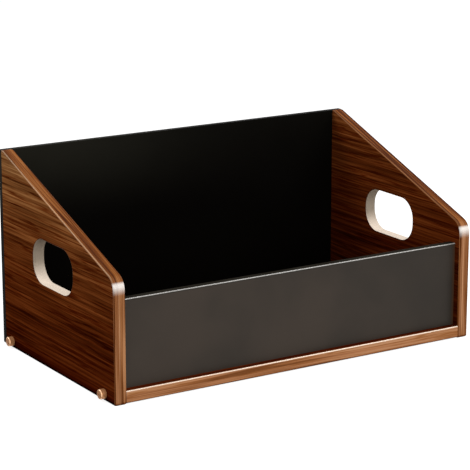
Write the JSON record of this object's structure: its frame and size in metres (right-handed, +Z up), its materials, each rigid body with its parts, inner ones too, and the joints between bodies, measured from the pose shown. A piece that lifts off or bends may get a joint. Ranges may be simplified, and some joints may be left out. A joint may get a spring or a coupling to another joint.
{
  "type": "record storage stand",
  "caption": "Low open bin for upright sleeves: sloping wood-grain side panels with hand holes, black front and back panels and a flat base board.",
  "frame": {"origin": "on the floor under the middle of the stand's overall box", "axes": "+X across the width towards the right side panel, -Y towards the front, +Z up"},
  "size_m": [0.566, 0.314, 0.268],
  "materials": {
    "walnut_laminate": "satin walnut-grain laminate on board, grain running front to back",
    "walnut_band": "satin walnut-grain edge band, lighter than the faces",
    "black_laminate": "satin black laminate on board",
    "pale_edging": "matt cream plastic edging",
    "copper_bolt": "copper-toned plate, softly brushed",
    "zinc_plate": "bright zinc plate",
    "black_steel": "black plated steel",
    "beech": "raw beech",
    "foot_strip": "matt black rubber"
  },
  "bodies": {
    "root": {"left_side_panel": "walnut_laminate", "left_edge_band": "walnut_band", "left_hand_hole_edging": "pale_edging", "left_foot_strip": "foot_strip", "left_front_bolt": "copper_bolt", "left_front_barrel_nut": "zinc_plate", "left_front_base_dowel": "beech", "left_rear_bolt": "copper_bolt", "left_rear_barrel_nut": "zinc_plate", "left_rear_base_dowel": "beech", "left_lower_front_panel_dowel": "beech", "left_upper_front_panel_dowel": "beech", "right_side_panel": "walnut_laminate", "right_edge_band": "walnut_band", "right_hand_hole_edging": "pale_edging", "right_foot_strip": "foot_strip", "right_front_bolt": "copper_bolt", "right_front_barrel_nut": "zinc_plate", "right_front_base_dowel": "beech", "right_rear_bolt": "copper_bolt", "right_rear_barrel_nut": "zinc_plate", "right_rear_base_dowel": "beech", "right_lower_front_panel_dowel": "beech", "right_upper_front_panel_dowel": "beech", "base_board": "walnut_laminate", "base_edge_band": "walnut_band", "front_panel": "black_laminate", "front_panel_top_band": "black_laminate", "front_panel_left_screw": "zinc_plate", "front_panel_middle_screw": "zinc_plate", "front_panel_right_screw": "zinc_plate", "back_panel": "black_laminate", "back_panel_left_lower_screw": "black_steel", "back_panel_left_middle_screw": "black_steel", "back_panel_left_upper_screw": "black_steel", "back_panel_right_lower_screw": "black_steel", "back_panel_right_middle_screw": "black_steel", "back_panel_right_upper_screw": "black_steel", "back_panel_base_left_screw": "black_steel", "back_panel_base_middle_screw": "black_steel", "back_panel_base_right_screw": "black_steel"}
  },
  "joints": []
}
